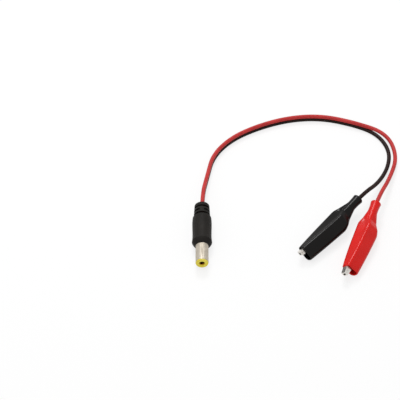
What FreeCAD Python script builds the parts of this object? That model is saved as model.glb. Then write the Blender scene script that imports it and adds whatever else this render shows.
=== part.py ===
import FreeCAD, Part
import math
import os

from FreeCAD import Placement, Rotation, Vector

os.makedirs("parts", exist_ok=True)

# A power lead: a barrel plug, a flat pair of wires that parts near its far end,
# and a sprung clip in a soft boot on each wire.
# Millimetres. The origin is on the plug's axis at the front face of its handle.
# The barrel points along -Y, +X is to the right and +Z is up.
# The lead lies on a flat surface, which the widest ring of the handle touches.

# How far a cut runs past what it cuts, and how near two equal sizes are
past = 1.0
same_place = 1e-4

# Barrel of the plug
barrel_r = 2.75
barrel_length = 9.5
barrel_wall = 0.55
root_r = 3.0
root_start = 0.4
root_end = 3.5
spigot_r = 2.6
spigot_length = 0.8

# Insulating sleeve with the coloured ring at the tip
tip_flange_r = 2.65
tip_flange_length = 0.5
tip_lip = 0.17
tip_edge_round = 0.18
insulator_tail = 1.5

# Centre contact, a split tube that takes a pin
pin_hole_r = 1.05
pin_hole_depth = 10.0
contact_wall = 0.4
contact_slit = 0.35
contact_slit_length = 6.0
contact_base = 2.0
contact_tail_r = 0.75
solder_overlap = 1.5
contact_tail_thickness = 0.4

# Solder lug of the barrel
lug_ring_r = 3.3
lug_thickness = 0.4
lug_width = 1.6
lug_step_gap = 0.6
lug_overhang = 1.0

# Moulded handle
front_face_r = 2.85
front_ring_r = 4.33
front_ring_y = 2.2
waist_r = 4.08
waist_y = 6.5
grip_r = 4.18
grip_y = 10.5
shoulder_r = 4.05
shoulder_round = 0.5
handle_length = 16.0
neck_r = 3.6
front_bulge = 0.56
shoulder_bulge = 0.7

# Slotted strain relief behind the handle
relief_length = 6.9
relief_end_r = 3.25
relief_edge_round = 0.35
relief_bridge = 1.9
relief_slot = 0.95
relief_rows = 3
relief_first_slot = 0.15
relief_pitch = 2.0

# Wires
wire_r = 0.9
strand_r = 0.5
pair_gap = 0.06
plug_strip_length = 6.5
plug_grip_length = 7.5
clip_strip_length = 3.2

# Boot of a clip: X runs from the wire end to the mouth, Z to the thumb side
boot_length = 38.0
boot_wall = 0.6
boot_clearance = 0.3
boot_corner_r = 1.75
tube_wall = 0.8
tube_clearance = 0.4
tube_length = 5.0
tube_flat = 0.05
thumb_height = 5.4
thumb_at = 17.0
mouth_thumb_height = 3.6
shoulder_at = 14.0
rise_spans = 6
taper_spans = 3

# Folded sheet jaws, measured from the pin
sheet = 0.4
bend_r = 0.4
pin_r = 0.7
pin_clearance = 0.05
pin_height = 0.6
ear_r = 1.55
ear_foot = 4.4
fixed_half = 2.2
nose_half = 1.2
tip_half = 1.0
side_clearance = 0.08
tip_reach = 17.5
nose_from_tip = 3.4
tail_reach = 10.2
side_top = -0.8
nose_depth = 3.4
tip_lift = 0.15
throat_from_teeth = 0.8
tail_flare = 2.8
tail_bevel = (1.0, 0.3)
ear_margin = 1.0
fixed_taper = 3.6

# Teeth
bite_z = -2.3
bite_gap = 0.1
tooth_pitch = 1.05
tooth_depth = 0.45
tooth_count = 7
tooth_end = 0.25

# Moving jaw and its thumb plate
thumb_reach = 8.4
thumb_end_height = 3.5
thumb_half = 2.25
thumb_rim = 0.7
thumb_from_pin = 5.0
thumb_neck = 1.2
heel_height = 2.4
brow_from_pin = 11.0
brow_height = -0.1
tip_height = -1.3

# Crimp barrel on the tail of the fixed jaw
crimp_length = 5.0
crimp_wall = 0.35
crimp_slit = 0.5
crimp_bite = 0.4

# Torsion spring
spring_wire_r = 0.2
spring_coil_r = 1.15
spring_half_width = 0.75
spring_turns = 3
spring_corners = 6
spring_gap = 0.05
spring_foot = 7.0

# Where the pieces lie. A clip rests turned over by its roll, on its thumb side and its mouth.
clip_roll = -134.0
floor_z = -front_ring_r
black_clip = {"tube_end": (68.3, 25.2), "heading": -130.6, "pin_x": 22.4, "cant": 0}
red_clip = {"tube_end": (75.7, 22.7), "heading": -111.0, "pin_x": 24.0, "cant": 0.5}
clip_lead_in = 3.5

# Route of the wires. The pair's points give the middle of the pair, red above black.
pair_z = wire_r + pair_gap / 2
lying_z = floor_z + wire_r
pair_lying_z = lying_z + pair_z
relief_end = handle_length + relief_length
insulation_start = relief_end - plug_grip_length
pair_route = [
    (0, insulation_start, 0),
    (0, 28.8, 0),
    (2.3, 42.3, pair_lying_z),
    (5, 55.7, pair_lying_z),
    (13.8, 66.7, pair_lying_z),
    (26.8, 74.4, pair_lying_z),
    (40.8, 79.3, pair_lying_z),
    (55.3, 80.3, pair_lying_z),
    (69.7, 76.2, pair_lying_z)]
red_branch = [
    (84.4, 69.4, lying_z + 1.7),
    (88.4, 56.1, lying_z + 0.2),
    (83.4, 40.3, lying_z + 2.4)]
black_branch = [
    (80.1, 70.6, lying_z),
    (85.1, 60.4, lying_z),
    (83.9, 49.9, lying_z),
    (78.2, 37.6, lying_z + 2.4)]

# Sizes that follow from the ones above
insulator_r = barrel_r - barrel_wall
contact_r = pin_hole_r + contact_wall
tip_hole_r = pin_hole_r + tip_lip
barrel_tip = -barrel_length
sleeve_front = barrel_tip + tip_flange_length
spigot_end = root_end + spigot_length
insulator_end = spigot_end + insulator_tail
pin_hole_end = sleeve_front + pin_hole_depth
contact_back = pin_hole_end + contact_base
plug_strands_start = insulation_start - plug_strip_length
contact_end = plug_strands_start + solder_overlap
solder_z = pair_z - strand_r
wire_bore_r = wire_r + tube_clearance
tube_r = wire_bore_r + tube_wall
shoulder_half = fixed_half + boot_clearance + boot_wall
mouth_half = nose_half + boot_clearance + boot_wall
fixed_depth = nose_depth - pin_height + boot_clearance + boot_wall
crimp_r = wire_r + crimp_wall
tail_depth = pin_height + crimp_r
nose_x = tip_reach - nose_from_tip
tooth_start = tip_reach - tooth_end - tooth_count * tooth_pitch
moving_half = fixed_half - sheet - side_clearance
insulation_end = -tail_reach - crimp_length / 2


def wire_from(steps, place):
    """A closed wire through the steps. A step with two points is an arc through the first."""
    edges = []
    here = steps[0]
    for step in steps[1:] + steps[:1]:
        if isinstance(step[0], tuple):
            through, end = step
            edges.append(Part.Arc(place(here), place(through), place(end)).toShape())
        elif step != here:
            end = step
            edges.append(Part.LineSegment(place(here), place(end)).toShape())
        here = end
    return Part.Wire(edges)


def radius_and_y(point):
    return Vector(point[0], point[1], 0)


def turned(steps):
    """A solid turned about the Y axis from an outline of radius and y."""
    face = Part.Face(wire_from(steps, radius_and_y))
    return face.revolve(Vector(0, 0, 0), Vector(0, 1, 0), 360)


def rod(radius, start, end):
    start = Vector(*start)
    along = Vector(*end) - start
    return Part.makeCylinder(radius, along.Length, start, along)


def block(low, high):
    size = [b - a for a, b in zip(low, high)]
    return Part.makeBox(size[0], size[1], size[2], Vector(*low))


def on_ring(edge, radius, y):
    """True for a circle about the Y axis with this radius at this y."""
    curve = edge.Curve
    if not isinstance(curve, Part.Circle):
        return False
    return abs(curve.Radius - radius) < same_place and abs(curve.Center.y - y) < same_place


# The plug


def plug_sleeve():
    return turned([
        (insulator_r, sleeve_front), (barrel_r, sleeve_front), (barrel_r, root_start),
        (root_r, root_start), (root_r, root_end), (spigot_r, root_end),
        (spigot_r, spigot_end), (insulator_r, spigot_end)])


def tip_insulator():
    body = turned([
        (tip_hole_r, barrel_tip), (tip_flange_r, barrel_tip),
        (tip_flange_r, sleeve_front), (insulator_r, sleeve_front),
        (insulator_r, insulator_end), (contact_r, insulator_end),
        (contact_r, sleeve_front), (tip_hole_r, sleeve_front)])
    rims = [
        e for e in body.Edges
        if on_ring(e, tip_flange_r, barrel_tip) or on_ring(e, tip_hole_r, barrel_tip)]
    return body.makeFillet(tip_edge_round, rims)


def center_contact():
    body = turned([
        (0, pin_hole_end), (pin_hole_r, pin_hole_end), (pin_hole_r, sleeve_front),
        (contact_r, sleeve_front), (contact_r, contact_back),
        (contact_tail_r, contact_back), (contact_tail_r, contact_end), (0, contact_end)])
    half = contact_slit / 2
    slit = block(
        (-contact_r - past, sleeve_front - past, -half),
        (contact_r + past, sleeve_front + contact_slit_length, half))
    above = block(
        (-contact_tail_r, insulator_end, solder_z),
        (contact_tail_r, contact_end, contact_tail_r))
    below = block(
        (-contact_tail_r, insulator_end, -contact_tail_r),
        (contact_tail_r, contact_end, solder_z - contact_tail_thickness))
    return body.cut(slit).cut(above).cut(below)


def sleeve_lug():
    """A ring on the spigot, with a strip that steps in to lie under the black wire's end."""
    back = root_end + lug_thickness
    ring = turned([(spigot_r, root_end), (lug_ring_r, root_end), (lug_ring_r, back), (spigot_r, back)])
    low = -lug_ring_r
    high = -pair_z - strand_r
    step_y = insulator_end + lug_step_gap
    end_y = contact_end + lug_overhang
    strip = [
        (root_end, low), (step_y + lug_thickness, low),
        (step_y + lug_thickness, high - lug_thickness), (end_y, high - lug_thickness),
        (end_y, high), (step_y, high), (step_y, low + lug_thickness),
        (root_end, low + lug_thickness)]
    side = Part.Face(wire_from(strip, lambda point: Vector(-lug_width / 2, point[0], point[1])))
    tab = side.extrude(Vector(lug_width, 0, 0))
    hole = rod(spigot_r, (0, root_start, 0), (0, spigot_end, 0))
    return ring.fuse(tab.cut(hole)).removeSplitter()


def plug_strands(z):
    return rod(strand_r, (0, plug_strands_start, z), (0, insulation_start, z))


def relief_slots():
    """Slots through the strain relief, in rows that turn a quarter from one to the next."""
    slots = []
    reach = neck_r + past
    half = relief_bridge / 2
    for row in range(relief_rows):
        start = handle_length + relief_first_slot + row * relief_pitch
        end = start + relief_slot
        ring = rod(reach, (0, start, 0), (0, end, 0))
        if row % 2:
            bridge = block((-half, start, -reach), (half, end, reach))
        else:
            bridge = block((-reach, start, -half), (reach, end, half))
        slots.append(ring.cut(bridge))
    return slots


def bulge(inner, outer, share):
    """Middle of a rounded corner: as far out from the inner point as its share, and as little along as the rest."""
    return (
        inner[0] + (outer[0] - inner[0]) * share,
        inner[1] + (outer[1] - inner[1]) * (1 - share))


def handle_outline():
    """The turned outline of the handle and its strain relief, with a spline for the grip."""
    front = (front_face_r, 0)
    ring = (front_ring_r, front_ring_y)
    shoulder = (shoulder_r, handle_length - shoulder_round)
    neck = (neck_r, handle_length)
    end = (relief_end_r, relief_end)
    grip = Part.BSplineCurve()
    grip.interpolate([radius_and_y(p) for p in (ring, (waist_r, waist_y), (grip_r, grip_y), shoulder)])
    front_middle = bulge(front, ring, front_bulge)
    shoulder_middle = bulge(neck, shoulder, shoulder_bulge)
    corners = [(0, relief_end), (0, 0), front]
    return Part.Wire([
        Part.LineSegment(radius_and_y(corners[0]), radius_and_y(corners[1])).toShape(),
        Part.LineSegment(radius_and_y(corners[1]), radius_and_y(corners[2])).toShape(),
        Part.Arc(radius_and_y(front), radius_and_y(front_middle), radius_and_y(ring)).toShape(),
        grip.toShape(),
        Part.Arc(radius_and_y(shoulder), radius_and_y(shoulder_middle), radius_and_y(neck)).toShape(),
        Part.LineSegment(radius_and_y(neck), radius_and_y(end)).toShape(),
        Part.LineSegment(radius_and_y(end), radius_and_y(corners[0])).toShape()])


def plug_housing(inserts):
    """The handle and strain relief, moulded in one round the inserts."""
    body = Part.Face(handle_outline()).revolve(Vector(0, 0, 0), Vector(0, 1, 0), 360)
    rim = [e for e in body.Edges if on_ring(e, relief_end_r, relief_end)]
    body = body.makeFillet(relief_edge_round, rim)
    pin_hole = rod(pin_hole_r, (0, 0, 0), (0, pin_hole_end, 0))
    for piece in relief_slots() + inserts + [pin_hole]:
        body = body.cut(piece)
    return body


# A cord: straight runs joined by arcs that use this share of the shorter run

run_share = 0.45


def cord_path(points):
    """The path and the radii of its arcs."""
    edges = []
    radii = []
    here = points[0]
    for before, corner, after in zip(points, points[1:], points[2:]):
        back = before - corner
        ahead = after - corner
        reach = run_share * min(back.Length, ahead.Length)
        back.normalize()
        ahead.normalize()
        half_turn = (math.pi - back.getAngle(ahead)) / 2
        radius = reach / math.tan(half_turn)
        middle = back + ahead
        middle.normalize()
        start = corner + back * reach
        end = corner + ahead * reach
        through = corner + middle * (radius / math.cos(half_turn) - radius)
        edges.append(Part.LineSegment(here, start).toShape())
        edges.append(Part.Arc(start, through, end).toShape())
        radii.append(radius)
        here = end
    edges.append(Part.LineSegment(here, points[-1]).toShape())
    return Part.Wire(edges), radii


def cord(name, points, radius):
    path, radii = cord_path(points)
    ring = Part.Wire(Part.makeCircle(radius, points[0], points[1] - points[0]))
    tube = path.makePipeShell([ring], True, False)
    share = tube.Volume / (math.pi * radius ** 2 * path.Length)
    print(name, "length", round(path.Length, 1), "volume ratio", round(share, 4))
    print(name, "bend radii", [round(r, 1) for r in radii])
    return tube


# The boot of a clip


def ramp(start, end, share):
    share = min(max(share, 0.0), 1.0)
    return start + (end - start) * share * share * (3 - 2 * share)


def shoulder_share(x):
    return (x - tube_length) / (shoulder_at - tube_length)


def boot_low(x):
    return -ramp(tube_r, fixed_depth, shoulder_share(x))


def boot_high(x):
    if x <= thumb_at:
        return ramp(tube_r, thumb_height, (x - tube_length) / (thumb_at - tube_length))
    share = (x - thumb_at) / (boot_length - thumb_at)
    return thumb_height + (mouth_thumb_height - thumb_height) * share


def boot_half(x):
    if x <= shoulder_at:
        return ramp(tube_r, shoulder_half, shoulder_share(x))
    share = (x - shoulder_at) / (boot_length - shoulder_at)
    return shoulder_half + (mouth_half - shoulder_half) * share ** 3


def boot_corner(x):
    return ramp(tube_r - tube_flat, boot_corner_r, shoulder_share(x))


def boot_inset(x):
    return ramp(tube_wall, boot_wall, shoulder_share(x))


def boot_section(x, at, inset):
    """A rounded rectangle across the boot, with its form at x, drawn at another x."""
    low = boot_low(x) + inset
    high = boot_high(x) - inset
    half = boot_half(x) - inset
    corner = boot_corner(x) - inset
    slant = corner * (1 - math.sqrt(0.5))
    steps = [
        (-half, low + corner),
        (-half, high - corner),
        ((-half + slant, high - slant), (-half + corner, high)),
        (half - corner, high),
        ((half - slant, high - slant), (half, high - corner)),
        (half, low + corner),
        ((half - slant, low + slant), (half - corner, low)),
        (-half + corner, low),
        ((-half + slant, low + slant), (-half, low + corner))]
    return wire_from(steps, lambda point: Vector(at, point[0], point[1]))


def boot_stations():
    rise = [tube_length + (thumb_at - tube_length) * k / rise_spans for k in range(rise_spans + 1)]
    taper = [thumb_at + (boot_length - thumb_at) * k / taper_spans for k in range(1, taper_spans + 1)]
    return [0, tube_length / 2] + rise + taper


def boot():
    stations = boot_stations()
    outer = Part.makeLoft([boot_section(x, x, 0) for x in stations], True)
    inner = [boot_section(0, -past, boot_inset(0))]
    inner += [boot_section(x, x, boot_inset(x)) for x in stations[1:-1]]
    inner.append(boot_section(boot_length, boot_length + past, boot_inset(boot_length)))
    return outer.cut(Part.makeLoft(inner, True))


# The metal of a clip, with the pin's middle at the origin


def web_z(x):
    """Height of the outside of the fixed jaw's back."""
    return -tail_depth - (nose_depth - tail_depth) * (x + tail_reach) / (nose_x + tail_reach)


def bite_line(offset):
    """The toothed line where the jaws meet, from the throat to the tip."""
    points = []
    for k in range(tooth_count):
        x = tooth_start + k * tooth_pitch
        points.append((x, bite_z - tooth_depth / 2 + offset))
        points.append((x + tooth_pitch / 2, bite_z + tooth_depth / 2 + offset))
    points.append((tooth_start + tooth_count * tooth_pitch, bite_z - tooth_depth / 2 + offset))
    points.append((tip_reach, bite_z - tooth_depth / 2 + offset))
    return points


def side_plate(steps, half):
    """An outline of x and z, with a thickness of twice half across Y."""
    face = Part.Face(wire_from(steps, lambda point: Vector(point[0], -half, point[1])))
    return face.extrude(Vector(0, 2 * half, 0))


def plan_plate(stations, trim, reach):
    """A plate seen from above, symmetric about X, from pairs of x and half width."""
    right = [(x, half - trim) for x, half in stations]
    outline = right + [(x, -half) for x, half in reversed(right)]
    face = Part.Face(wire_from(outline, lambda point: Vector(point[0], point[1], -reach)))
    return face.extrude(Vector(0, 0, 2 * reach))


def folded(side, hollow, stations):
    """A channel folded from sheet, from its side outline, its hollow's and its plan."""
    reach = thumb_half + nose_depth + thumb_end_height
    body = side_plate(side, thumb_half + past).common(plan_plate(stations, 0, reach))
    body = body.makeFillet(bend_r, back_edges(body, side))
    first, last = stations[0], stations[-1]
    long = [(first[0] - past, first[1])] + stations + [(last[0] + past, last[1])]
    return body.cut(side_plate(hollow, thumb_half + past).common(plan_plate(long, sheet, reach)))


def back_edges(body, side):
    """The long edges where the back of a channel, the first run of its side outline, meets its flanges."""
    start, end = side[0], side[1]
    slope = (end[1] - start[1]) / (end[0] - start[0])
    edges = []
    for edge in body.Edges:
        points = [v.Point for v in edge.Vertexes]
        if len(points) < 2 or abs(points[0].x - points[1].x) < sheet:
            continue
        on_back = all(abs(p.z - start[1] - slope * (p.x - start[0])) < same_place for p in points)
        if on_back and abs(points[0].y + points[1].y) > tip_half:
            edges.append(edge)
    return edges


def crimp():
    """A split barrel that holds the wire, on the wire's axis."""
    start = -tail_reach - crimp_length + crimp_bite
    outer = rod(crimp_r, (start, 0, -pin_height), (-tail_reach + crimp_bite, 0, -pin_height))
    slit = block(
        (start - past, -crimp_slit / 2, -pin_height),
        (-tail_reach + crimp_bite + past, crimp_slit / 2, -pin_height + crimp_r + past))
    return outer.cut(slit)


def fixed_jaw():
    """The jaw that holds the wire, with the ears that carry the pin outside the moving jaw's."""
    stations = [
        (-tail_reach, crimp_r), (-tail_reach + tail_flare, fixed_half), (ear_r + ear_margin, fixed_half),
        (ear_foot + fixed_taper, nose_half), (nose_x, nose_half), (tip_reach, tip_half)]
    gap = -bite_gap / 2
    throat = bite_z - tooth_depth / 2 + gap
    side = [(-tail_reach, -tail_depth), (nose_x, -nose_depth), (tip_reach, -nose_depth + tip_lift)]
    side += reversed(bite_line(gap))
    side += [
        (tooth_start - throat_from_teeth, throat), (ear_foot, throat), (ear_r, 0),
        ((0, ear_r), (-ear_r, 0)), (-ear_foot, side_top), (-tail_reach + tail_bevel[0], side_top),
        (-tail_reach, side_top - tail_bevel[1])]
    far = tip_reach + past
    rise = tip_lift / nose_from_tip
    hollow = [
        (-tail_reach - past, web_z(-tail_reach - past) + sheet), (nose_x, -nose_depth + sheet),
        (far, -nose_depth + sheet + rise * (far - nose_x)), (far, thumb_end_height),
        (-tail_reach - past, thumb_end_height)]
    jaw = folded(side, hollow, stations).fuse(crimp())
    wire_start = -tail_reach - crimp_length - past
    wire_space = rod(wire_r, (wire_start, 0, -pin_height), (-tail_reach + past, 0, -pin_height))
    pin_hole = rod(pin_r, (0, -fixed_half - past, 0), (0, fixed_half + past, 0))
    return jaw.cut(wire_space).cut(pin_hole)


def moving_jaw():
    """The sprung jaw, whose tail is the thumb plate."""
    stations = [
        (-thumb_reach, thumb_half), (-thumb_from_pin, thumb_half), (-thumb_from_pin + thumb_neck, moving_half),
        (ear_r, moving_half), (ear_foot, nose_half), (nose_x, nose_half), (tip_reach, tip_half)]
    gap = bite_gap / 2
    throat = bite_z + tooth_depth + gap
    side = [(-thumb_reach, thumb_end_height), (0, heel_height), (brow_from_pin, brow_height), (tip_reach, tip_height)]
    side += reversed(bite_line(gap))
    side += [
        (tooth_start - throat_from_teeth, throat), (ear_foot, -ear_r / 3), (ear_r, 0),
        ((0, -ear_r), (-ear_r, 0)), (-ear_foot, ear_r), (-thumb_reach, thumb_end_height - thumb_rim)]
    far = tip_reach + past
    back = thumb_reach + past
    thumb_slope = (thumb_end_height - heel_height) / thumb_reach
    tip_slope = (tip_height - brow_height) / (tip_reach - brow_from_pin)
    hollow = [
        (-back, heel_height - sheet + thumb_slope * back), (0, heel_height - sheet),
        (brow_from_pin, brow_height - sheet), (far, brow_height - sheet + tip_slope * (far - brow_from_pin)),
        (far, -nose_depth), (-back, -nose_depth)]
    jaw = folded(side, hollow, stations)
    return jaw.cut(rod(pin_r + pin_clearance, (0, -fixed_half, 0), (0, fixed_half, 0)))


def pivot_pin():
    return rod(pin_r, (0, -fixed_half, 0), (0, fixed_half, 0))


def tangent_angle(foot, side):
    """Angle about the pin where a line from a foot touches the coil, on one side of it."""
    away = math.hypot(foot[0], foot[1])
    return math.atan2(foot[1], foot[0]) + side * math.acos(spring_coil_r / away)


def spring(name):
    """A torsion spring on the pin, one foot on the fixed jaw's back, the other under the thumb plate."""
    lift = sheet + spring_gap + spring_wire_r
    thumb_under = heel_height + (thumb_end_height - heel_height) * spring_foot / thumb_reach - lift
    low_foot = (-spring_foot, web_z(-spring_foot) + lift)
    high_foot = (-spring_foot, thumb_under)
    start = tangent_angle(low_foot, 1)
    end = tangent_angle(high_foot, -1)
    turn = (end - start) % (2 * math.pi) + spring_turns * 2 * math.pi
    corners = round(turn * spring_corners / (2 * math.pi))
    step = turn / corners
    corner_r = spring_coil_r / math.cos(step / 2)
    points = [Vector(low_foot[0], -spring_half_width, low_foot[1])]
    for k in range(corners):
        angle = start + (k + 0.5) * step
        y = spring_half_width * (2 * (k + 0.5) / corners - 1)
        points.append(Vector(corner_r * math.cos(angle), y, corner_r * math.sin(angle)))
    points.append(Vector(high_foot[0], spring_half_width, high_foot[1]))
    return cord(name, points, spring_wire_r)


# Placing the clips and the wires


def depth_below_axis(x):
    """How far the boot reaches below its own axis at x when it lies on its roll."""
    lean = math.radians(-clip_roll - 90)
    corner = boot_corner(x)
    return (boot_high(x) - corner) * math.sin(lean) + (boot_half(x) - corner) * math.cos(lean) + corner


def clip_placement(clip):
    """The boot's frame: nose down, so that its thumb side and its mouth both lie on the floor."""
    drop = depth_below_axis(thumb_at) - depth_below_axis(boot_length)
    pitch = math.degrees(math.atan2(drop, boot_length - thumb_at))
    lying = Placement(Vector(0, 0, 0), Rotation(clip["heading"], pitch, clip_roll))
    lowest = laid(boot(), lying).optimalBoundingBox().ZMin
    return Placement(Vector(*clip["tube_end"], floor_z - lowest), lying.Rotation)


def metal_placement(clip, place):
    """The pin's frame, with the metal turned a little about the wire's end inside the boot."""
    wire_end = Vector(clip["pin_x"] + insulation_end, 0, 0)
    cant = Rotation(Vector(0, 1, 0), clip["cant"])
    pin = Vector(-insulation_end, 0, pin_height)
    return place.multiply(Placement(wire_end, cant)).multiply(Placement(pin, Rotation()))


def laid(shape, placement):
    """A copy of a shape in a clip's frame, laid where the clip lies."""
    copy = shape.copy()
    copy.transformShape(placement.toMatrix())
    return copy


def clip_pieces(name, clip, place):
    metal = metal_placement(clip, place)
    strands_end = insulation_end + clip_strip_length
    strands = rod(strand_r, (insulation_end, 0, -pin_height), (strands_end, 0, -pin_height))
    return {
        name + "_boot": laid(boot(), place),
        name + "_strands": laid(strands, metal),
        name + "_fixed_jaw": laid(fixed_jaw(), metal),
        name + "_moving_jaw": laid(moving_jaw(), metal),
        name + "_pivot_pin": laid(pivot_pin(), metal),
        name + "_spring": laid(spring(name + "_spring"), metal)}


def wire_points(pair_offset, branch, clip, place):
    """Middle of a wire from the handle, along the pair and its own branch, into its clip."""
    metal = metal_placement(clip, place)
    points = [Vector(x, y, z + pair_offset) for x, y, z in pair_route]
    points += [Vector(*p) for p in branch]
    points.append(metal.multVec(Vector(-clip["pin_x"] - clip_lead_in, 0, -pin_height)))
    points.append(metal.multVec(Vector(insulation_end, 0, -pin_height)))
    return points


def build():
    red_place = clip_placement(red_clip)
    black_place = clip_placement(black_clip)
    red = wire_points(pair_z, red_branch, red_clip, red_place)
    black = wire_points(-pair_z, black_branch, black_clip, black_place)
    nodes = {
        "plug_sleeve": plug_sleeve(),
        "tip_insulator": tip_insulator(),
        "center_contact": center_contact(),
        "sleeve_lug": sleeve_lug(),
        "red_plug_strands": plug_strands(pair_z),
        "black_plug_strands": plug_strands(-pair_z),
        "red_wire": cord("red_wire", red, wire_r),
        "black_wire": cord("black_wire", black, wire_r)}
    nodes["plug_housing"] = plug_housing(list(nodes.values()))
    nodes.update(clip_pieces("black", black_clip, black_place))
    nodes.update(clip_pieces("red", red_clip, red_place))
    return nodes


for node, shape in build().items():
    shape.exportStep(os.path.join("parts", node + ".step"))
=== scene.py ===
import bpy
import math
from mathutils import Matrix, Vector

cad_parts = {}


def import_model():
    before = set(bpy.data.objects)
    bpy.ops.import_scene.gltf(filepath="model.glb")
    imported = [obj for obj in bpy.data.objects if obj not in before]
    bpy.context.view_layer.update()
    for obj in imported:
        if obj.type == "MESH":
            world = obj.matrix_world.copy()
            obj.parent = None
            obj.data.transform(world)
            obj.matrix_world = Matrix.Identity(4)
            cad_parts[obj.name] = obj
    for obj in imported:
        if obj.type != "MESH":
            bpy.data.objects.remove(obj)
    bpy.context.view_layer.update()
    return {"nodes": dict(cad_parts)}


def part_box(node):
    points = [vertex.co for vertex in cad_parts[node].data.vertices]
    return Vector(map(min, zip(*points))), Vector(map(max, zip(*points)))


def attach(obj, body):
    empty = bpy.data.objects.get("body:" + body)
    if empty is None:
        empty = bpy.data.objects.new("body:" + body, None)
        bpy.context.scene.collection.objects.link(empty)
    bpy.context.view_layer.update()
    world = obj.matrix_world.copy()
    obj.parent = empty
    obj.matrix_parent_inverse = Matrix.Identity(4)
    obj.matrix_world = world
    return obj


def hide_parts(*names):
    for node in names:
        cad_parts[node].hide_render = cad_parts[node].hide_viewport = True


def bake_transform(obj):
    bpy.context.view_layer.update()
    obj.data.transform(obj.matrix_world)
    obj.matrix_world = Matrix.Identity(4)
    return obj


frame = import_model()

MM = 0.001

# Camera, fitted to the outline of the plug
camera_place = (-0.00086, -0.40838, 0.48304)
camera_down = 48
lens_mm = 133.8

# Wires, with the route's points as the CAD has them
wire_r = 0.9 * MM
pair_z = 0.93 * MM
floor_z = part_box("plug_housing")[0].z
lying_z = floor_z + wire_r
pair_lying_z = lying_z + pair_z
pair_route = [
    (0, 0.0154, 0),
    (0, 0.0288, 0),
    (0.0023, 0.0423, pair_lying_z),
    (0.005, 0.0557, pair_lying_z),
    (0.0138, 0.0667, pair_lying_z),
    (0.0268, 0.0744, pair_lying_z),
    (0.0408, 0.0793, pair_lying_z),
    (0.0553, 0.0803, pair_lying_z),
    (0.0697, 0.0762, pair_lying_z)]
red_branch = [
    (0.0844, 0.0694, lying_z + 0.0017),
    (0.0884, 0.0561, lying_z + 0.0002),
    (0.0834, 0.0403, lying_z + 0.0024),
    (0.07695, 0.02595, 0.00312),
    (0.07167, 0.0122, 0.00174)]
black_branch = [
    (0.0801, 0.0706, lying_z),
    (0.0851, 0.0604, lying_z),
    (0.0839, 0.0499, lying_z),
    (0.0782, 0.0376, lying_z + 0.0024),
    (0.07057, 0.02785, 0.00312),
    (0.06202, 0.01787, 0.00189)]
wire_steps = 12
wire_bevel_steps = 6

# Boots, in millimetres in a clip's own frame: X from the wire end to the mouth, Z to the thumb side
boot_length = 38.0
boot_start = 0.5
tube_r = 2.1
tube_length = 5.0
end_flare = 0.25
flare_length = 3.5
bore_r = 1.3
fixed_depth = 3.7
thumb_height = 5.4
thumb_at = 17.0
mouth_thumb_height = 3.6
shoulder_at = 14.0
shoulder_half = 3.1
broad_start = 10.8
broad_end = 14.2
mouth_half = 2.1
boot_corner_r = 1.75
ridge_r = 1.2
ridge_set_in = 1.9
ridge_left = 0.2
least_corner = 0.2
ramp_ease = 0.16
shoulder_ease = 0.2
boot_wall = 0.6
round_side = 0.01
boot_steps = 120
clip_pitch = 5.355
clip_roll = -134.0
clip_height = 2.791
clips = {
    "black": {"tube_end": (68.3, 25.2), "heading": -130.6},
    "red": {"tube_end": (75.7, 22.7), "heading": -111.0}}

# Stage
floor_size = 3.0
floor_glow = 0.78
sky_on_object = 0.55
sky_seen = 1.0
lit_middle = (0.04, 0.03, 0)

# Materials
plastic_cloud_scale = 180
plastic_gloss_scale = 700
plastic_gloss_range = (0.92, 1.1)
plastic_grain_depth = 0.00002
metal_cloud_share = 0.4
metal_gloss_range = (0.7, 1.35)
metal_line_strength = 0.3
metal_line_depth = 0.00001


def new_material(name, base, roughness, metallic=0.0, specular=0.5):
    """A material with its node tree, its Principled shader and object coordinates."""
    material = bpy.data.materials.new(name)
    material.use_nodes = True
    nodes = material.node_tree.nodes
    shader = nodes["Principled BSDF"]
    shader.inputs["Base Color"].default_value = (*base, 1)
    shader.inputs["Roughness"].default_value = roughness
    shader.inputs["Metallic"].default_value = metallic
    shader.inputs["Specular IOR Level"].default_value = specular
    place = nodes.new("ShaderNodeTexCoord")
    return material, shader, place.outputs["Object"]


def noise_of(material, place, scale, detail=4.0, stretch=(1, 1, 1)):
    """Noise at a scale per metre, drawn out along an axis by a small stretch."""
    nodes, links = material.node_tree.nodes, material.node_tree.links
    mapping = nodes.new("ShaderNodeMapping")
    mapping.inputs["Scale"].default_value = stretch
    noise = nodes.new("ShaderNodeTexNoise")
    noise.inputs["Scale"].default_value = scale
    noise.inputs["Detail"].default_value = detail
    links.new(place, mapping.inputs["Vector"])
    links.new(mapping.outputs["Vector"], noise.inputs["Vector"])
    return noise.outputs["Fac"]


def ramp_between(material, factor, low, high, start=0.3, end=0.7):
    """Colours from low to high as a factor goes from start to end."""
    ramp = material.node_tree.nodes.new("ShaderNodeValToRGB")
    ramp.color_ramp.elements[0].position = start
    ramp.color_ramp.elements[0].color = (*low, 1)
    ramp.color_ramp.elements[1].position = end
    ramp.color_ramp.elements[1].color = (*high, 1)
    material.node_tree.links.new(factor, ramp.inputs["Fac"])
    return ramp.outputs["Color"]


def vary_roughness(material, shader, factor, low, high):
    remap = material.node_tree.nodes.new("ShaderNodeMapRange")
    remap.inputs["From Min"].default_value = 0.3
    remap.inputs["From Max"].default_value = 0.7
    remap.inputs["To Min"].default_value = low
    remap.inputs["To Max"].default_value = high
    material.node_tree.links.new(factor, remap.inputs["Value"])
    material.node_tree.links.new(remap.outputs["Result"], shader.inputs["Roughness"])


def bump(material, shader, height, strength, distance):
    node = material.node_tree.nodes.new("ShaderNodeBump")
    node.inputs["Strength"].default_value = strength
    node.inputs["Distance"].default_value = distance
    material.node_tree.links.new(height, node.inputs["Height"])
    material.node_tree.links.new(node.outputs["Normal"], shader.inputs["Normal"])


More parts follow.
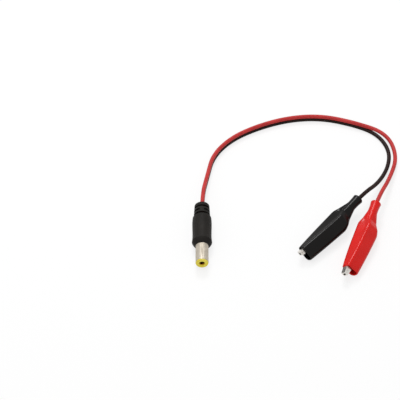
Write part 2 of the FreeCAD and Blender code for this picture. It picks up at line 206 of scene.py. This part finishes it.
def moulded_plastic(name, dark, light, roughness, grain=6000, grain_strength=0.2, specular=0.25):
    """Moulded soft plastic: a fine grain in its gloss and a slow change of colour."""
    material, shader, place = new_material(name, light, roughness, specular=specular)
    clouds = noise_of(material, place, plastic_cloud_scale)
    material.node_tree.links.new(ramp_between(material, clouds, dark, light), shader.inputs["Base Color"])
    fine = noise_of(material, place, grain, 2)
    gloss = noise_of(material, place, plastic_gloss_scale)
    least, most = plastic_gloss_range
    vary_roughness(material, shader, gloss, roughness * least, roughness * most)
    bump(material, shader, fine, grain_strength, plastic_grain_depth)
    return material


def plated_metal(name, dark, light, roughness, stretch=(1, 1, 1), scale=900):
    """Plated or drawn metal: faint lines along it and cloudy wear."""
    material, shader, place = new_material(name, light, roughness, 1)
    clouds = noise_of(material, place, scale * metal_cloud_share)
    colour = ramp_between(material, clouds, dark, light, 0.25, 0.6)
    material.node_tree.links.new(colour, shader.inputs["Base Color"])
    lines = noise_of(material, place, scale, 3, stretch)
    least, most = metal_gloss_range
    vary_roughness(material, shader, lines, roughness * least, roughness * most)
    bump(material, shader, lines, metal_line_strength, metal_line_depth)
    return material


def paint(node, material):
    """Gives a CAD node its material."""
    mesh = frame["nodes"][node].data
    mesh.materials.clear()
    mesh.materials.append(material)


black_handle = moulded_plastic(
    "black_handle", (0.007, 0.006, 0.005), (0.013, 0.011, 0.009), 0.6, specular=0.15)
yellow_ring = moulded_plastic(
    "yellow_ring", (0.76, 0.62, 0.03), (0.86, 0.74, 0.10), 0.3, 3000, specular=0.4)
sleeve_plate = plated_metal(
    "sleeve_plate", (0.48, 0.435, 0.365), (0.57, 0.52, 0.44), 0.65, (1, 0.08, 1), 1800)
contact_brass = plated_metal(
    "contact_brass", (0.62, 0.30, 0.08), (0.80, 0.46, 0.16), 0.35, (1, 8, 1), 700)
jaw_plate = plated_metal("jaw_plate", (0.66, 0.63, 0.58), (0.85, 0.82, 0.77), 0.3, (1, 1, 1), 1500)
spring_steel = plated_metal("spring_steel", (0.42, 0.42, 0.40), (0.62, 0.62, 0.60), 0.35)
copper = plated_metal("copper_strands", (0.58, 0.26, 0.12), (0.78, 0.42, 0.26), 0.35, (10, 10, 1))
red_vinyl = moulded_plastic(
    "red_vinyl", (0.42, 0.028, 0.028), (0.52, 0.040, 0.038), 0.42, 5000, specular=0.15)
black_vinyl = moulded_plastic(
    "black_vinyl", (0.010, 0.004, 0.003), (0.020, 0.008, 0.006), 0.4, 5000, specular=0.14)
red_boot_vinyl = moulded_plastic(
    "red_boot_vinyl", (0.60, 0.006, 0.003), (0.68, 0.009, 0.006), 0.26, 900, 0.01, specular=0.22)
black_boot_vinyl = moulded_plastic(
    "black_boot_vinyl", (0.002, 0.0015, 0.001), (0.0035, 0.003, 0.0025), 0.22, 900, 0.01, specular=0.18)

node_materials = {
    "plug_housing": black_handle, "plug_sleeve": sleeve_plate, "tip_insulator": yellow_ring,
    "center_contact": contact_brass, "sleeve_lug": contact_brass,
    "red_plug_strands": copper, "black_plug_strands": copper}
for clip in clips:
    node_materials[clip + "_fixed_jaw"] = jaw_plate
    node_materials[clip + "_moving_jaw"] = jaw_plate
    node_materials[clip + "_pivot_pin"] = spring_steel
    node_materials[clip + "_spring"] = spring_steel
    node_materials[clip + "_strands"] = copper
for node, material in node_materials.items():
    paint(node, material)


# Wires


def wire(name, node, points, material):
    """A round wire on one smooth line through its route."""
    curve = bpy.data.curves.new(name, "CURVE")
    curve.dimensions = "3D"
    curve.resolution_u = wire_steps
    curve.bevel_depth = wire_r
    curve.bevel_resolution = wire_bevel_steps
    spline = curve.splines.new("NURBS")
    spline.points.add(len(points) - 1)
    for point, place in zip(spline.points, points):
        point.co = (*place, 1)
    spline.order_u = 3
    spline.use_endpoint_u = True
    piece = bpy.data.objects.new(name, curve)
    bpy.context.scene.collection.objects.link(piece)
    curve.materials.append(material)
    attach(piece, "root")
    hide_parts(node)
    return piece


red_points = [(x, y, z + pair_z) for x, y, z in pair_route] + red_branch
black_points = [(x, y, z - pair_z) for x, y, z in pair_route] + black_branch
wire("red_lead", "red_wire", red_points, red_vinyl)
wire("black_lead", "black_wire", black_points, black_vinyl)


# Boots


def smooth(start, end, share, end_ease=ramp_ease):
    """A straight ramp from start to end with a short easing at both ends."""
    share = min(max(share, 0.0), 1.0)
    slope = 1 / (1 - (ramp_ease + end_ease) / 2)
    if share < ramp_ease:
        risen = slope * share * share / (2 * ramp_ease)
    elif share < 1 - end_ease:
        risen = slope * (share - ramp_ease / 2)
    else:
        risen = 1 - slope * (1 - share) * (1 - share) / (2 * end_ease)
    return start + (end - start) * risen


def shoulder_share(x):
    return (x - tube_length) / (shoulder_at - tube_length)


def past_shoulder(x):
    return (x - shoulder_at) / (boot_length - shoulder_at)


def flare(x):
    """The tube opens a little towards its end."""
    return end_flare * max(1 - (x - boot_start) / flare_length, 0) ** 2


def boot_low(x):
    return -smooth(tube_r, fixed_depth, shoulder_share(x)) - flare(x)


def boot_high(x):
    if x <= thumb_at:
        return smooth(tube_r, thumb_height, (x - tube_length) / (thumb_at - tube_length)) + flare(x)
    past_thumb = (x - thumb_at) / (boot_length - thumb_at)
    return thumb_height + (mouth_thumb_height - thumb_height) * past_thumb


def boot_half(x):
    if x <= broad_end:
        share = (x - broad_start) / (broad_end - broad_start)
        return smooth(tube_r, shoulder_half, share, shoulder_ease) + flare(x)
    return shoulder_half + (mouth_half - shoulder_half) * past_shoulder(x) ** 3


def corner_radius(full, x, inset):
    """A corner's radius, from nearly round along the tube to its full value at the shoulder."""
    outside = smooth(tube_r - round_side, full, shoulder_share(x)) + flare(x)
    return max(outside - inset, least_corner)


def boot_ring(x, at, inset, corners=20, sides=5):
    """Points going once round the section at x, placed at another x. One corner is a ridge, set in."""
    low, high = boot_low(x) + inset, boot_high(x) - inset
    half = boot_half(x) - inset
    corner = corner_radius(boot_corner_r, x, inset)
    ridge = corner_radius(ridge_r, x, inset)
    set_in = smooth(0, ridge_set_in, shoulder_share(x)) * smooth(1, ridge_left, past_shoulder(x))
    corner_places = [
        (half - corner, high - corner, corner, 0),
        (-half + corner, high - corner, corner, 90),
        (-half + ridge, low + set_in + ridge, ridge, 180),
        (half - corner, low + corner, corner, 270)]
    arcs = []
    for y, z, radius, turn in corner_places:
        angles = [math.radians(turn + 90 * c / corners) for c in range(corners + 1)]
        arcs.append([Vector((at, y + radius * math.cos(a), z + radius * math.sin(a))) for a in angles])
    ring = []
    for arc, after in zip(arcs, arcs[1:] + arcs[:1]):
        ring += arc
        ring += [arc[-1].lerp(after[0], s / sides) for s in range(1, sides)]
    return ring


def boot_rings():
    """Rings along the outside, round the mouth's lip, back along the inside and round the tube's end."""
    lip = boot_wall / 2
    start = boot_start + lip
    stations = [start + (boot_length - lip - start) * k / boot_steps for k in range(boot_steps + 1)]
    rings = [boot_ring(x, x, 0) for x in stations]
    for angle in (45, 90, 135):
        reach = lip * math.sin(math.radians(angle))
        inset = lip * (1 - math.cos(math.radians(angle)))
        rings.append(boot_ring(stations[-1], stations[-1] + reach, inset))
    for x in reversed(stations):
        inset = smooth(tube_r - bore_r, boot_wall, shoulder_share(x)) + flare(x)
        rings.append(boot_ring(x, x, inset))
    for angle in (135, 90, 45):
        reach = lip * math.sin(math.radians(angle))
        inset = (tube_r - bore_r) / 2 * (1 - math.cos(math.radians(angle)))
        rings.append(boot_ring(stations[0], stations[0] - reach, inset))
    return rings


def clip_matrix(clip):
    """The clip's own frame in the row, in metres."""
    turn = Matrix.Rotation(math.radians(clip["heading"]), 4, "Z")
    turn = turn @ Matrix.Rotation(math.radians(clip_pitch), 4, "Y")
    turn = turn @ Matrix.Rotation(math.radians(clip_roll), 4, "X")
    place = Vector((*clip["tube_end"], clip_height)) * MM
    return Matrix.Translation(place) @ turn


def boot(name, clip, material):
    rings = boot_rings()
    count = len(rings[0])
    matrix = clip_matrix(clip)
    points = [matrix @ (p * MM) for ring in rings for p in ring]
    faces = []
    for r in range(len(rings)):
        after = (r + 1) % len(rings)
        for k in range(count):
            beside = (k + 1) % count
            faces.append((r * count + k, r * count + beside, after * count + beside, after * count + k))
    mesh = bpy.data.meshes.new(name)
    mesh.from_pydata([tuple(p) for p in points], [], faces)
    mesh.validate()
    mesh.update()
    mesh.polygons.foreach_set("use_smooth", [True] * len(mesh.polygons))
    piece = bpy.data.objects.new(name, mesh)
    bpy.context.scene.collection.objects.link(piece)
    mesh.materials.append(material)
    return piece


for name, clip in clips.items():
    material = red_boot_vinyl if name == "red" else black_boot_vinyl
    piece = boot(name + "_sleeve", clip, material)
    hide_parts(name + "_boot")
    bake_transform(piece)


# Floor, sky, lights and camera


def area_light(name, place, target, size, power):
    light = bpy.data.lights.new(name, "AREA")
    light.shape = "RECTANGLE"
    light.size, light.size_y = size
    light.energy = power
    lamp = bpy.data.objects.new(name, light)
    lamp.location = place
    lamp.rotation_euler = (Vector(target) - Vector(place)).to_track_quat("-Z", "Y").to_euler()
    bpy.context.scene.collection.objects.link(lamp)


def floor():
    mesh = bpy.data.meshes.new("floor")
    sides = ((-1, -1), (1, -1), (1, 1), (-1, 1))
    corners = [(x * floor_size, y * floor_size, floor_z) for x, y in sides]
    mesh.from_pydata(corners, [], [(0, 1, 2, 3)])
    piece = bpy.data.objects.new("floor", mesh)
    bpy.context.scene.collection.objects.link(piece)
    material = bpy.data.materials.new("floor")
    material.use_nodes = True
    nodes, links = material.node_tree.nodes, material.node_tree.links
    shader = nodes["Principled BSDF"]
    shader.inputs["Base Color"].default_value = (0.9, 0.9, 0.9, 1)
    shader.inputs["Roughness"].default_value = 0.8
    glow = nodes.new("ShaderNodeEmission")
    mix = nodes.new("ShaderNodeMixShader")
    rays = nodes.new("ShaderNodeLightPath")
    share = nodes.new("ShaderNodeMath")
    share.operation = "MULTIPLY"
    share.inputs[1].default_value = floor_glow
    links.new(rays.outputs["Is Camera Ray"], share.inputs[0])
    links.new(share.outputs["Value"], mix.inputs["Fac"])
    links.new(shader.outputs["BSDF"], mix.inputs[1])
    links.new(glow.outputs["Emission"], mix.inputs[2])
    links.new(mix.outputs["Shader"], nodes["Material Output"].inputs["Surface"])
    mesh.materials.append(material)


def world():
    """Pale to the camera, to gloss and through glass, and a plain grey light on the object."""
    sky = bpy.data.worlds.new("world")
    bpy.context.scene.world = sky
    sky.use_nodes = True
    nodes, links = sky.node_tree.nodes, sky.node_tree.links
    light = nodes["Background"]
    light.inputs["Color"].default_value = (1, 1, 1, 1)
    light.inputs["Strength"].default_value = sky_on_object
    pale = nodes.new("ShaderNodeBackground")
    pale.inputs["Strength"].default_value = sky_seen
    rays = nodes.new("ShaderNodeLightPath")
    seen = nodes.new("ShaderNodeMath")
    seen.operation = "MAXIMUM"
    through = nodes.new("ShaderNodeMath")
    through.operation = "MAXIMUM"
    mix = nodes.new("ShaderNodeMixShader")
    links.new(rays.outputs["Is Camera Ray"], seen.inputs[0])
    links.new(rays.outputs["Is Glossy Ray"], seen.inputs[1])
    links.new(seen.outputs["Value"], through.inputs[0])
    links.new(rays.outputs["Is Transmission Ray"], through.inputs[1])
    links.new(through.outputs["Value"], mix.inputs["Fac"])
    links.new(light.outputs["Background"], mix.inputs[1])
    links.new(pale.outputs["Background"], mix.inputs[2])
    links.new(mix.outputs["Shader"], nodes["World Output"].inputs["Surface"])


floor()
world()
area_light("key", (-0.1, 0.05, 0.75), lit_middle, (0.5, 0.4), 1.6)
area_light("fill", (-0.5, -0.35, 0.5), lit_middle, (0.5, 0.5), 0.2)
area_light("strip", (-0.02, 0.42, 0.6), lit_middle, (0.24, 0.2), 2.0)

camera_data = bpy.data.cameras.new("camera")
camera_data.lens = lens_mm
camera_data.sensor_width = 36
camera_data.clip_start = 0.01
camera = bpy.data.objects.new("camera", camera_data)
camera.location = camera_place
camera.rotation_euler = (math.radians(90 - camera_down), 0, 0)
bpy.context.scene.collection.objects.link(camera)
bpy.context.scene.camera = camera
bpy.context.scene.view_settings.view_transform = "Standard"
